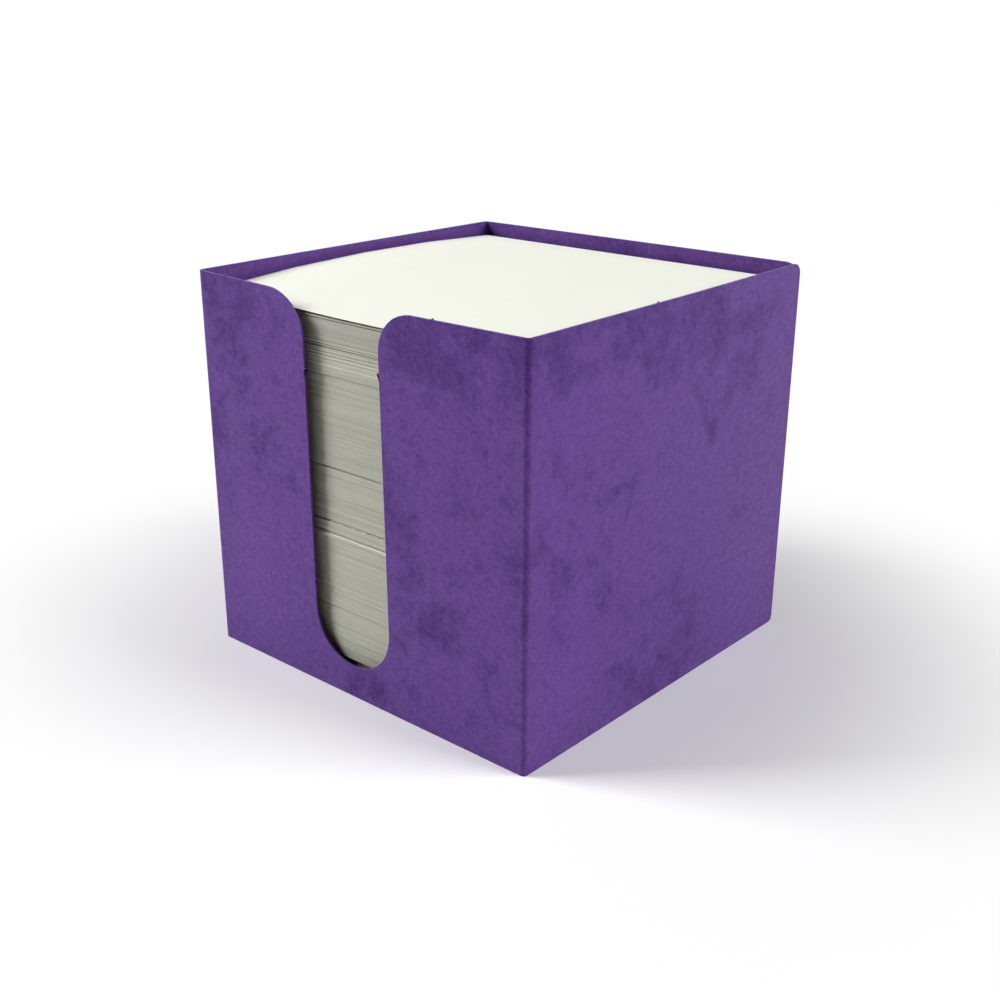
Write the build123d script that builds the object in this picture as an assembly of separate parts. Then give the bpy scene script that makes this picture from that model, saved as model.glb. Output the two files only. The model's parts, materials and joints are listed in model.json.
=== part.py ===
from build123d import *
from math import sqrt
import os

# Memo box: a folded pressboard case with a finger slot in its front wall, full of loose note sheets.
# Millimetres, +Z up. The origin is under the middle of the case, on the table.
# The front wall with the slot faces -Y, and the case closes with a glued seam at its rear right corner.
# The case is one die-cut card. It is given here panel by panel, parted along its creases.

# Square note sheets, and the room between them and what lines the walls
sheet_width = 90.0
paper_clearance = 1.4

# Card and glue
case_height = 89.5
card = 0.5
glue = 0.1
fold_radius = 0.65

# Finger slot in the front wall
slot_width = 22.4
slot_offset = -2.0
slot_floor = 7.6
left_mouth_radius = 10.6
right_mouth_radius = 9.2

# Seam at the rear right corner
seam_overhang = 0.5
seam_flap_width = 14.0
seam_flap_taper = 4.0
free_corner_top = 3.5
free_corner_bottom = 2.5

# Glue tabs turned up from the floor
tab_step = 1.0
tab_taper = 4.0
tab_gap = 1.0
glue_margin = 1.0

# Thickness of each wad, from the floor up. A wad ends where the stack parts in view.
# The top sheet is a single one, and the wads are so many times as thick.
wad_thickness = {
    "note_wad_1": 13.5,
    "note_wad_2": 8.2,
    "note_wad_3": 13.4,
    "proud_sheets": 0.6,
    "note_wad_4": 2.8,
    "note_wad_5": 12.5,
    "note_wad_6": 15.2,
    "note_wad_7": 5.0,
    "note_wad_8": 6.0,
    "note_wad_9": 5.9,
    "loose_sheets": 1.3,
    "top_sheet": 0.1,
}

# How far each wad lies off centre, sideways and backwards, as shares of the clearance round it
wad_shift_shares = {
    "note_wad_1": (0.05, 0.06),
    "note_wad_2": (-0.08, 0.1),
    "note_wad_3": (0.1, 0.08),
    "proud_sheets": (0.3, -0.28),
    "note_wad_4": (-0.04, -0.02),
    "note_wad_5": (0.06, 0.05),
    "note_wad_6": (-0.1, -0.04),
    "note_wad_7": (0.08, 0.06),
    "note_wad_8": (-0.06, 0.02),
    "note_wad_9": (0.04, 0.1),
    "loose_sheets": (-0.12, -0.06),
    "top_sheet": (0.1, -0.12),
}

# How far the tops of the loose upper wads swell up over their front edge. Any other wad lies along the one below.
# The crest of the swell is this far behind the middle.
wad_swell = {
    "note_wad_9": 1.6,
    "loose_sheets": 2.2,
}
crest_offset = 4.0

# The case round the sheets
lining = card + glue + card
case_width = sheet_width + 2 * (paper_clearance + lining)
case_depth = case_width
bend = fold_radius + card

# Outer faces of the walls
left = -case_width / 2
right = case_width / 2
front = -(case_depth + seam_overhang) / 2
rear = front + case_depth

# Faces that the seam flap and the floor tabs are glued up to
lined_left = left + card + glue
lined_right = right - card - glue
lined_front = front + card + glue

# Edges of the floor panel, at its creases
floor_left = lined_left + bend
floor_right = lined_right - bend
floor_front = lined_front + bend
floor_rear = rear - bend
tab_height = slot_floor - tab_step

# Middle of the stack from front to rear, the crest of its swell, and how far that is from the front edge
middle = (lined_front + card + rear - lining) / 2
crest = middle + crest_offset
crest_reach = sheet_width / 2 + crest_offset

# Directions
to_right = (1, 0, 0)
to_left = (-1, 0, 0)
to_rear = (0, 1, 0)
to_front = (0, -1, 0)
upwards = (0, 0, 1)
downwards = (0, 0, -1)


def block(low, high):
    """A flat panel or film that fills the box between two corners."""
    size = [b - a for a, b in zip(low, high)]
    return Pos(*low) * Box(*size, align=Align.MIN)


def crease(corner, first_side, along, length):
    """A quarter bend of card that runs along a fold, round the fold's centre line from its first side."""
    start = Plane(origin=corner, x_dir=first_side, z_dir=along)
    with BuildSketch(start) as section:
        with BuildLine():
            outer = CenterArc((0, 0), bend, 0, 90)
            inner = CenterArc((0, 0), fold_radius, 0, 90)
            Line(outer @ 0, inner @ 0)
            Line(outer @ 1, inner @ 1)
        make_face()
    return extrude(section.sketch, amount=length, dir=along)


def tapered_flap(corner, run, rise, width, height, taper, thickness):
    """A glue flap that stands on a crease of the given width and narrows towards its free edge."""
    base = Plane(origin=corner, x_dir=run, z_dir=Vector(*run).cross(Vector(*rise)))
    with BuildSketch(base) as outline:
        with BuildLine():
            Polyline((0, 0), (width, 0), (width - taper, height), (taper, height), close=True)
        make_face()
    return extrude(outline.sketch, amount=thickness)


def front_wall():
    """The front panel, with the finger slot that opens into the rim over two round shoulders."""
    near_end = left + bend
    far_end = right - bend
    slot_radius = slot_width / 2
    slot_left = slot_offset - slot_radius
    slot_right = slot_offset + slot_radius
    arc_height = slot_floor + slot_radius
    left_turn = (slot_left - left_mouth_radius, case_height - left_mouth_radius)
    right_turn = (slot_right + right_mouth_radius, case_height - right_mouth_radius)
    inner_face = Plane.XZ.offset(-(front + card))
    with BuildSketch(inner_face) as outline:
        with BuildLine():
            right_mouth = CenterArc(right_turn, right_mouth_radius, 90, 90)
            slot_end = CenterArc((slot_offset, arc_height), slot_radius, 180, 180)
            left_mouth = CenterArc(left_turn, left_mouth_radius, 0, 90)
            Line(right_mouth @ 1, slot_end @ 1)
            Line(slot_end @ 0, left_mouth @ 0)
            Polyline(
                left_mouth @ 1,
                (near_end, case_height),
                (near_end, 0),
                (far_end, 0),
                (far_end, case_height),
                right_mouth @ 0,
            )
        make_face()
    return extrude(outline.sketch, amount=card)


def right_wall():
    """The right panel, whose free rear edge covers the seam and has rounded corners."""
    free_edge = rear + seam_overhang
    wall = block((right - card, front + bend, 0), (right, free_edge, case_height))
    edges = wall.edges().filter_by(Axis.X).group_by(Axis.Y)[-1].sort_by(Axis.Z)
    wall = fillet(edges[-1], free_corner_top)
    edges = wall.edges().filter_by(Axis.X).filter_by(GeomType.LINE).group_by(Axis.Z)[0].sort_by(Axis.Y)
    return fillet(edges[-1], free_corner_bottom)


def case_panels():
    """The four walls and the floor, flat between their creases."""
    return {
        "front_wall": front_wall(),
        "right_wall": right_wall(),
        "rear_wall": block((left + bend, rear - card, bend), (floor_right, rear, case_height)),
        "left_wall": block((left, front + bend, 0), (left + card, rear - bend, case_height)),
        "floor_panel": block((floor_left, floor_front, 0), (floor_right, floor_rear, card)),
    }


def case_creases():
    """The folds between the walls, and the fold that turns the floor in from the rear wall."""
    front_right = (right - bend, front + bend, 0)
    front_left = (left + bend, front + bend, 0)
    rear_left = (left + bend, rear - bend, 0)
    return {
        "front_right_crease": crease(front_right, to_front, upwards, case_height),
        "front_left_crease": crease(front_left, to_left, upwards, case_height),
        "rear_left_crease": crease(rear_left, to_rear, upwards, case_height),
        "floor_crease": crease((floor_left, floor_rear, bend), downwards, to_right, floor_right - floor_left),
    }


def seam():
    """The flap folded from the rear wall and its film of glue on the inside of the right wall."""
    height = case_height - bend
    fold = (floor_right, floor_rear, bend)
    foot = (lined_right - card, floor_rear, bend)
    flap = tapered_flap(foot, upwards, to_front, height, seam_flap_width, seam_flap_taper, card)
    glue_low = (lined_right, floor_rear - seam_flap_width + glue_margin, bend + seam_flap_taper)
    glue_high = (right - card, floor_rear - glue_margin, case_height - seam_flap_taper)
    return {
        "seam_crease": crease(fold, to_right, upwards, height),
        "seam_flap": flap,
        "seam_glue": block(glue_low, glue_high),
    }


def floor_tabs():
    """The front, left and right tabs of the floor, each on its crease and glued to its wall."""
    rise = tab_height - bend
    low = bend + glue_margin
    high = tab_height - glue_margin
    inset = tab_gap + tab_taper
    side_start = floor_front + tab_gap
    left_end = floor_rear - tab_gap
    right_end = floor_rear - seam_flap_width - tab_gap
    left_run = left_end - side_start
    right_run = right_end - side_start
    front_start = floor_left + tab_gap
    front_run = floor_right - tab_gap - front_start
    front_foot = (front_start, lined_front + card, bend)
    left_foot = (lined_left, side_start, bend)
    right_foot = (lined_right - card, side_start, bend)
    return {
        "front_tab_crease": crease((front_start, floor_front, bend), to_front, to_right, front_run),
        "left_tab_crease": crease((floor_left, side_start, bend), downwards, to_rear, left_run),
        "right_tab_crease": crease((floor_right, side_start, bend), to_right, to_rear, right_run),
        "front_tab": tapered_flap(front_foot, to_right, upwards, front_run, rise, tab_taper, card),
        "left_tab": tapered_flap(left_foot, to_rear, upwards, left_run, rise, tab_taper, card),
        "right_tab": tapered_flap(right_foot, to_rear, upwards, right_run, rise, tab_taper, card),
        "front_tab_glue": block(
            (floor_left + inset, front + card, low), (floor_right - inset, lined_front, high)
        ),
        "left_tab_glue": block(
            (left + card, floor_front + inset, low), (lined_left, floor_rear - inset, high)
        ),
        "right_tab_glue": block(
            (lined_right, floor_front + inset, low), (right - card, right_end - tab_taper, high)
        ),
    }


def sheet_line(front_edge, rear_edge, height, swell):
    """The line of a sheet from its front edge to its rear edge, bowed up over the crest by the swell."""
    if swell == 0:
        return Line((front_edge, height), (rear_edge, height))
    bow_radius = (crest_reach**2 + swell**2) / (2 * swell)
    bow_centre = height + swell - bow_radius
    places = (front_edge, crest, rear_edge)
    return ThreePointArc(*[(y, bow_centre + sqrt(bow_radius**2 - (y - crest) ** 2)) for y in places])


def note_wad(low_x, front_edge, underside, top, swell_below, swell_above):
    """A wad of sheets, whose underside follows the wad below and whose top swells by its own amount."""
    rear_edge = front_edge + sheet_width
    with BuildSketch(Plane.YZ.offset(low_x)) as profile:
        with BuildLine():
            lower = sheet_line(front_edge, rear_edge, underside, swell_below)
            upper = sheet_line(front_edge, rear_edge, top, swell_above)
            Line(lower @ 0, upper @ 0)
            Line(lower @ 1, upper @ 1)
        make_face()
    return extrude(profile.sketch, amount=sheet_width)


def note_sheets():
    """The wads of loose sheets, each lying on the one below, the lowest on the floor panel."""
    wads = {}
    underside = card
    swell_below = 0
    for name, thickness in wad_thickness.items():
        sideways, backwards = [share * paper_clearance for share in wad_shift_shares[name]]
        swell_above = wad_swell.get(name, swell_below)
        top = underside + thickness
        low_x = sideways - sheet_width / 2
        front_edge = middle + backwards - sheet_width / 2
        wads[name] = note_wad(low_x, front_edge, underside, top, swell_below, swell_above)
        underside = top
        swell_below = swell_above
    return wads


os.makedirs("parts", exist_ok=True)
pieces = {**case_panels(), **case_creases(), **seam(), **floor_tabs(), **note_sheets()}
for node, solid in pieces.items():
    export_step(solid, os.path.join("parts", node + ".step"))
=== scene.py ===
"""A memo box: a folded pressboard case with a finger slot, full of loose white note sheets.

The case is one die-cut card. Each of its panels and creases is a slab of card, worked out on the
flat blank and then laid round its fold. The sheets are wads with every sheet edge in the surface.
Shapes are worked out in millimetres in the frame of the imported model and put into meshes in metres.
"""

import json
import logging
import math
from dataclasses import dataclass, field
from enum import Enum

import bpy
import numpy as np
from mathutils import Matrix, Vector


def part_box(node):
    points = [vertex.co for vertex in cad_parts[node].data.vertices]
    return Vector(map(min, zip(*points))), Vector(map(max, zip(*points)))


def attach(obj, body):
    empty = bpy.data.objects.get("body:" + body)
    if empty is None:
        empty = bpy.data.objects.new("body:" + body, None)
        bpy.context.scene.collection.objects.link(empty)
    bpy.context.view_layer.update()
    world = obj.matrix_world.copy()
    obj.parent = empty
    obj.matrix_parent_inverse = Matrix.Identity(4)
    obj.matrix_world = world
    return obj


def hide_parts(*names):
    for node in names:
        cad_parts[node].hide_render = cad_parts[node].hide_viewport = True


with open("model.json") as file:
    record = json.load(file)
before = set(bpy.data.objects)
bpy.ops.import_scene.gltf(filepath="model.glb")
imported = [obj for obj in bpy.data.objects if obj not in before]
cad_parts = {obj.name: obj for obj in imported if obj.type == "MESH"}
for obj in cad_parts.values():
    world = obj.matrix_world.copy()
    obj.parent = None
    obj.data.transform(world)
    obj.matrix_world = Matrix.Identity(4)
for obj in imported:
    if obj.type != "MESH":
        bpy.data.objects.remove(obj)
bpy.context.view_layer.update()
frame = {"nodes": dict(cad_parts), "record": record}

METRES_PER_MM = 0.001
log = logging.getLogger("memo_box")

X = np.array((1.0, 0.0, 0.0))
Y = np.array((0.0, 1.0, 0.0))
Z = np.array((0.0, 0.0, 1.0))

Colour = tuple[float, float, float, float]
Triple = tuple[float, float, float]
Pair = tuple[float, float]

WHITE: Colour = (1.0, 1.0, 1.0, 1.0)
# The range that most of a noise texture keeps to.
MID_NOISE: Pair = (0.3, 0.7)
# The inputs of a shader node that maps one range to another.
RANGE_INPUTS = ("Value", "From Min", "From Max", "To Min", "To Max")
# Where points stand across a nick, in half widths.
NICK_POINTS = np.linspace(-2.5, 2.5, 11)
# Keeps a division by a length from failing where the length is nothing.
LEAST_LENGTH = 1e-9


class Slot(Enum):
    """The material slots of the part."""

    PRESSBOARD = "pressboard"
    GLUE = "glue"
    PAPER = "paper"


class Side(Enum):
    """How a side of a card piece ends: at a die-cut edge, or where the card runs on into a fold."""

    CUT = "cut"
    FOLD = "fold"


def node_box(node: str) -> tuple[np.ndarray, np.ndarray]:
    """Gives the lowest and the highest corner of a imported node, in millimetres."""
    low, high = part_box(node)
    return np.array(low) / METRES_PER_MM, np.array(high) / METRES_PER_MM


def node_corner(node: str, ends: tuple[int, int, int]) -> np.ndarray:
    """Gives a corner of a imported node, at the low end, 0, or the high end, 1, of each axis."""
    return np.stack(node_box(node))[np.array(ends), np.arange(3)]


def node_size(node: str) -> np.ndarray:
    """Gives the width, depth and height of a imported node, in millimetres."""
    low, high = node_box(node)
    return high - low


def smooth_step(value: np.ndarray, low: float, high: float) -> np.ndarray:
    """Eases from 0 at low to 1 at high, with level ends: 3 t squared less 2 t cubed."""
    share = np.clip((value - low) / (high - low), 0.0, 1.0)
    return share * share * (3.0 - 2.0 * share)


def make_piece(
    name: str,
    points: np.ndarray,
    faces: np.ndarray,
    smooth: np.ndarray,
    attributes: dict[str, np.ndarray],
    normals: np.ndarray | None = None,
) -> bpy.types.Object:
    """Puts a worked-out surface into a mesh object at the origin.

    Args:
        name: name of the piece.
        points: vertices in millimetres, one row each.
        faces: corner numbers, four to a row. A triangle repeats its last corner.
        smooth: for each face, whether it is shaded smooth.
        attributes: a value at each vertex, by the attribute's name.
        normals: the surface's own normals at the vertices, or None to take them from the faces.

    Returns:
        The new object, linked to the scene.
    """
    corner_counts = np.where(faces[:, 2] == faces[:, 3], 3, 4)
    kept = np.arange(4)[None, :] < corner_counts[:, None]
    starts = np.concatenate(([0], np.cumsum(corner_counts)[:-1]))
    mesh = bpy.data.meshes.new(name)
    mesh.vertices.add(len(points))
    mesh.vertices.foreach_set("co", (points * METRES_PER_MM).astype(np.float32).ravel())
    mesh.loops.add(int(corner_counts.sum()))
    mesh.loops.foreach_set("vertex_index", faces[kept].astype(np.int32))
    mesh.polygons.add(len(faces))
    mesh.polygons.foreach_set("loop_start", starts.astype(np.int32))
    mesh.polygons.foreach_set("use_smooth", smooth)
    mesh.update(calc_edges=True)
    for key, values in attributes.items():
        layer = mesh.attributes.new(key, "FLOAT", "POINT")
        layer.data.foreach_set("value", values.astype(np.float32))
    if normals is not None:
        mesh.normals_split_custom_set_from_vertices(normals.tolist())
    mesh.validate()
    piece = bpy.data.objects.new(name, mesh)
    bpy.context.scene.collection.objects.link(piece)
    return piece


def dress(piece: bpy.types.Object, finish: bpy.types.Material, node: str, body: str) -> None:
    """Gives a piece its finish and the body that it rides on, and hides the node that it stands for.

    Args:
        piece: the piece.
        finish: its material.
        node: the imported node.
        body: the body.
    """
    piece.data.materials.append(finish)
    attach(piece, body)
    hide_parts(node)


class ShaderSheet:
    """The node tree of a material or of the surroundings, filled node by node."""

    def __init__(self, owner: bpy.types.Material | bpy.types.World) -> None:
        """Starts an empty tree.

        Args:
            owner: the material or the surroundings that it belongs to.
        """
        owner.use_nodes = True
        self.owner = owner
        self.tree = owner.node_tree
        self.tree.nodes.clear()

    def add(self, kind: str, inputs: dict[str | int, object], **settings: object) -> bpy.types.Node:
        """Adds one node.

        Args:
            kind: the node's type name.
            inputs: a value, or an output socket to join, for each named input.
            settings: properties of the node itself.

        Returns:
            The new node.
        """
        node = self.tree.nodes.new(kind)
        for key, value in settings.items():
            setattr(node, key, value)
        for key, value in inputs.items():
            if isinstance(value, bpy.types.NodeSocket):
                self.tree.links.new(value, node.inputs[key])
            else:
                node.inputs[key].default_value = value
        return node

    def place(self, stretch: Triple = (1.0, 1.0, 1.0)) -> bpy.types.NodeSocket:
        """Gives Object coordinates in metres, stretched along the axes."""
        plain = self.add("ShaderNodeTexCoord", {}).outputs["Object"]
        return self.add("ShaderNodeMapping", {"Vector": plain, "Scale": stretch}).outputs["Vector"]

    def noise(self, where: bpy.types.NodeSocket, size: float, detail: float) -> bpy.types.NodeSocket:
        """Adds noise, about 0.5 on average: the size of its lumps in millimetres, and its finer layers."""
        inputs = {"Vector": where, "Scale": 1.0 / (size * METRES_PER_MM), "Detail": detail}
        return self.add("ShaderNodeTexNoise", inputs).outputs[0]

    def sum(self, first: object, second: object, kind: str = "ADD") -> bpy.types.NodeSocket:
        """Joins two sockets or numbers by one operation of arithmetic."""
        return self.add("ShaderNodeMath", {0: first, 1: second}, operation=kind).outputs[0]

    def span(self, value: bpy.types.NodeSocket, reads: Pair, gives: Pair) -> bpy.types.NodeSocket:
        """Eases a value from the range that it reads to the one that it gives, and holds it at the ends."""
        inputs = dict(zip(RANGE_INPUTS, (value, *reads, *gives)))
        return self.add("ShaderNodeMapRange", inputs, interpolation_type="SMOOTHSTEP").outputs[0]

    def mix(self, factor: object, first: object, second: object) -> bpy.types.NodeSocket:
        """Mixes two colours or sockets of colour. The factor is the share of the second."""
        return self.add("ShaderNodeMix", {0: factor, 6: first, 7: second}, data_type="RGBA").outputs[2]

    def shade(self, colour: bpy.types.NodeSocket, factor: bpy.types.NodeSocket) -> bpy.types.NodeSocket:
        """Makes a colour brighter or darker by a factor."""
        return self.add("ShaderNodeHueSaturation", {"Color": colour, "Value": factor}).outputs[0]

    def attribute(self, name: str) -> bpy.types.NodeSocket:
        """Reads a value that the piece's vertices carry."""
        return self.add("ShaderNodeAttribute", {}, attribute_name=name).outputs["Fac"]

    def seen(self) -> bpy.types.NodeSocket:
        """Tells the rays that show a thing from those that light it.

        Returns:
            A value socket: 1 for rays of the camera, in reflections and through glass, and 0 for others.
        """
        rays = self.add("ShaderNodeLightPath", {}).outputs
        plain = self.sum(rays["Is Camera Ray"], rays["Is Glossy Ray"], "MAXIMUM")
        return self.sum(plain, rays["Is Transmission Ray"], "MAXIMUM")

    def finish(
        self, inputs: dict[str | int, object], relief: bpy.types.NodeSocket, bump: Pair
    ) -> bpy.types.Material:
        """Adds the bump, the surface shader and the output.

        Args:
            inputs: sockets and values of the surface shader.
            relief: height of the grain.
            bump: strength of the grain, and its depth in metres.

        Returns:
            The finished material.
        """
        grain = self.add("ShaderNodeBump", {"Height": relief, "Strength": bump[0], "Distance": bump[1]})
        surface = self.add("ShaderNodeBsdfPrincipled", inputs | {"Normal": grain.outputs[0]})
        self.add("ShaderNodeOutputMaterial", {"Surface": surface.outputs[0]})
        return self.owner


@dataclass(frozen=True)
class PressboardFinish:
    """Mottled, dyed pressboard with a low glaze, paler where it is cut through.

    Each of its four noises has the size of its lumps in millimetres and its number of finer layers.
    """

    pale: Colour = (0.1458, 0.0680, 0.2895, 1.0)
    deep: Colour = (0.0561, 0.0173, 0.1412, 1.0)
    core: Colour = (0.125, 0.060, 0.245, 1.0)
    cloud: Pair = (30.0, 2.0)
    smudge: Pair = (7.0, 4.0)
    fleck: Pair = (1.7, 3.0)
    grain: Pair = (0.5, 2.0)
    ground: float = 0.375
    gathering: float = 0.08
    stain_and_shade_span: Pair = (0.50, 0.86)
    stain_and_shade_depth: float = 0.40
    fleck_span: Pair = (0.25, 0.75)
    fleck_depth: float = 0.14
    grain_span: Pair = (0.2, 0.8)
    grain_depth: float = 0.22
    reverse_shade: float = 0.03
    painted_light_share: float = 0.5
    crease_shade_depth: float = 0.08
    fleck_relief: float = 0.6
    bump: Pair = (0.25, 0.00006)
    roughness: Pair = (0.37, 0.47)
    specular: float = 0.12

    def material(self) -> bpy.types.Material:
        """Makes the material.

        The colour runs from pale to deep with its darkness: the dye's ground plus smudges, flecks and grain,
        and painted shade on the reverse, which faces into the box, and along the folds. Clouds and the
        placed parts, which are dye clouds, painted shade and painted light, gather the smudges, and the
        placed painted light also thins the ground.

        Returns:
            The material.
        """
        sheet = ShaderSheet(bpy.data.materials.new("pressboard_mottled"))
        where = sheet.place()
        cloud = sheet.noise(where, *self.cloud)
        smudge = sheet.noise(where, *self.smudge)
        fleck = sheet.noise(where, *self.fleck)
        grain = sheet.noise(where, *self.grain)
        # Placed dye clouds, painted shade near the rims and painted light low on the walls.
        dye_and_light = sheet.attribute("dye_and_light")
        gathered = sheet.sum(smudge, sheet.span(cloud, MID_NOISE, (-self.gathering, self.gathering)))
        gathered = sheet.sum(gathered, dye_and_light)
        darkness = sheet.sum(sheet.span(gathered, self.stain_and_shade_span, (0.0, self.stain_and_shade_depth)), self.ground)
        shares = (
            # Painted light: the placed parts with negative amounts lighten the ground.
            sheet.sum(sheet.sum(dye_and_light, 0.0, "MINIMUM"), self.painted_light_share, "MULTIPLY"),
            sheet.span(fleck, self.fleck_span, (-self.fleck_depth, self.fleck_depth)),
            sheet.span(grain, self.grain_span, (-self.grain_depth, self.grain_depth)),
            # Painted shade on the reverse, which is the inner faces of the box.
            sheet.sum(sheet.attribute("reverse"), self.reverse_shade, "MULTIPLY"),
            # Painted shade along the creases.
            sheet.sum(sheet.attribute("fold"), self.crease_shade_depth, "MULTIPLY"),
        )
        for share in shares:
            darkness = sheet.sum(darkness, share)
        colour = sheet.mix(darkness, self.pale, self.deep)
        inputs = {
            "Base Color": sheet.mix(sheet.attribute("cut"), colour, self.core),
            "Roughness": sheet.span(fleck, MID_NOISE, self.roughness),
            "Specular IOR Level": self.specular,
        }
        relief = sheet.sum(grain, sheet.sum(fleck, self.fleck_relief, "MULTIPLY"))
        return sheet.finish(inputs, relief, self.bump)


@dataclass(frozen=True)
class PaperFinish:
    """Matt uncoated white paper, greyer along the guillotined edges of the sheets, partly their own colour
    and partly painted shade of the stack's side.

    Each of its three noises has the size of its lumps in millimetres and its number of finer layers.
    """

    face: Colour = (0.872, 0.882, 0.794, 1.0)
    # Edge colour: partly the cut edges' own greyness, partly painted shade of the stack's side.
    edge: Colour = (0.456, 0.457, 0.395, 1.0)
    fibre: Pair = (0.9, 3.0)
    fibre_shade: Pair = (0.99, 1.01)
    cloud: Pair = (24.0, 2.0)
    cloud_shade: Pair = (-0.008, 0.008)
    streak: Pair = (0.8, 3.0)
    streak_stretch: Triple = (0.12, 0.12, 2.2)
    streak_span: Pair = (0.25, 0.75)
    streak_shade: Pair = (-0.05, 0.05)
    bump: Pair = (0.12, 0.00004)
    roughness: float = 0.82
    specular: float = 0.1

    def material(self) -> bpy.types.Material:
        """Makes the material.

        The faces vary a little with fibres and formation. The edges follow the tone of each sheet, with
        painted highlights and painted shade, and take the edge colour, which is partly painted shade.

        Returns:
            The material.
        """
        sheet = ShaderSheet(bpy.data.materials.new("paper_uncoated"))
        where = sheet.place()
        fibre = sheet.noise(where, *self.fibre)
        fibres = sheet.span(fibre, MID_NOISE, self.fibre_shade)
        clouds = sheet.span(sheet.noise(where, *self.cloud), MID_NOISE, self.cloud_shade)
        streak = sheet.noise(sheet.place(self.streak_stretch), *self.streak)
        edge = sheet.attribute("edge")
        streaks = sheet.sum(sheet.span(streak, self.streak_span, self.streak_shade), edge, "MULTIPLY")
        # Tone with the sheets' painted highlights and painted shade.
        tone_and_light = sheet.sum(sheet.sum(fibres, clouds), sheet.sum(sheet.attribute("tone_and_light"), streaks))
        inputs = {
            "Base Color": sheet.shade(sheet.mix(edge, self.face, self.edge), tone_and_light),
            "Roughness": self.roughness,
            "Specular IOR Level": self.specular,
        }
        return sheet.finish(inputs, fibre, self.bump)


@dataclass(frozen=True)
class GlueFinish:
    """Dried dispersion glue, yellowish and a little glossy, with the marks of its roller."""

    thin: Colour = (0.70, 0.64, 0.46, 1.0)
    thick: Colour = (0.78, 0.73, 0.58, 1.0)
    roller: Pair = (2.0, 3.0)
    roller_stretch: Triple = (1.0, 1.0, 0.25)
    bump: Pair = (0.3, 0.00005)
    roughness: float = 0.42

    def material(self) -> bpy.types.Material:
        """Makes the material.

        Returns:
            The material.
        """
        sheet = ShaderSheet(bpy.data.materials.new("glue_film"))
        marks = sheet.noise(sheet.place(self.roller_stretch), *self.roller)
        colour = sheet.mix(sheet.span(marks, MID_NOISE, (0.0, 1.0)), self.thin, self.thick)
        return sheet.finish({"Base Color": colour, "Roughness": self.roughness}, marks, self.bump)


@dataclass(frozen=True)
class FlatPanel:
    """A flat stretch of the card. It lies at origin + along s + up t - outward d."""

    origin: np.ndarray
    along: np.ndarray
    up: np.ndarray = field(default_factory=lambda: Z)

    def axes(self, s: np.ndarray) -> tuple[np.ndarray, np.ndarray, np.ndarray]:
        """Gives the directions of s, of t and outward at each s."""
        ones = np.ones((len(s), 1))
        return ones * self.along, ones * self.up, ones * np.cross(self.along, self.up)

    def points(self, s: np.ndarray, t: np.ndarray, depth: np.ndarray) -> np.ndarray:
        """Lays points of the blank on the panel, at s along, t up and a depth below the outer face."""
        along, up, outward = self.axes(s)
        return self.origin + along * s[:, None] + up * t[:, None] - outward * depth[:, None]


@dataclass(frozen=True)
class Crease:
    """A quarter bend of the card about a fold line.

    With angle s / radius, outward = first cos + last sin, and a point lies at
    centre + axis t + outward (radius - depth), where axis is first x last.
    """

    centre: np.ndarray
    first: np.ndarray
    last: np.ndarray
    radius: float

    def axes(self, s: np.ndarray) -> tuple[np.ndarray, np.ndarray, np.ndarray]:
        """Gives the directions at places round the bend.

        Args:
            s: distance round the outside of the bend, at each place.

        Returns:
            The directions of s, of t and outward, one row for each place.
        """
        angle = (s / self.radius)[:, None]
        outward = self.first * np.cos(angle) + self.last * np.sin(angle)
        along = self.last * np.cos(angle) - self.first * np.sin(angle)
        return along, np.ones((len(s), 1)) * np.cross(self.first, self.last), outward

    def points(self, s: np.ndarray, t: np.ndarray, depth: np.ndarray) -> np.ndarray:
        """Lays points of the blank at s round the bend, t along the fold and a depth below its outside."""
        _, axis, outward = self.axes(s)
        return self.centre + axis * t[:, None] + outward * (self.radius - depth)[:, None]


@dataclass(frozen=True)
class Outline:
    """The outline of a card piece on the blank: two paths from left to right, and how its sides end.

    Where nicks stand on the upper path, raised gives how far each of its points stands out.
    """

    lower: np.ndarray
    upper: np.ndarray
    bottom: Side = Side.CUT
    right: Side = Side.FOLD
    top: Side = Side.CUT
    left: Side = Side.FOLD
    raised: np.ndarray | None = None


def straight(start: Pair, end: Pair, spacing: float) -> np.ndarray:
    """Gives evenly spaced points on a line.

    Args:
        start: first point.
        end: last point.
        spacing: the most that two points are apart.

    Returns:
        The points, one row each.
    """
    length = math.dist(start, end)
    share = np.linspace(0.0, 1.0, max(2, math.ceil(length / spacing) + 1))[:, None]
    return np.array(start) * (1.0 - share) + np.array(end) * share


def arc(centre: Pair, radius: float, start: float, end: float, spacing: float) -> np.ndarray:
    """Gives evenly spaced points on an arc: centre + radius (cos, sin) of the angle.

    Args:
        centre: centre of the arc.
        radius: radius of the arc.
        start: first angle, in degrees.
        end: last angle, in degrees.
        spacing: the most that two points are apart along it.

    Returns:
        The points, one row each.
    """
    sweep = math.radians(abs(end - start)) * radius
    angle = np.radians(np.linspace(start, end, max(3, math.ceil(sweep / spacing) + 1)))[:, None]
    return np.array(centre) + radius * np.hstack((np.cos(angle), np.sin(angle)))


def join(*stretches: np.ndarray) -> np.ndarray:
    """Joins stretches of a path end to end, each starting where the last one ends."""
    return np.vstack([stretches[0]] + [stretch[1:] for stretch in stretches[1:]])


def arc_length(path: np.ndarray) -> np.ndarray:
    """Gives the distance travelled along a path at each of its points."""
    steps = np.linalg.norm(np.diff(path, axis=0), axis=1)
    return np.concatenate(([0.0], np.cumsum(steps)))


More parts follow.
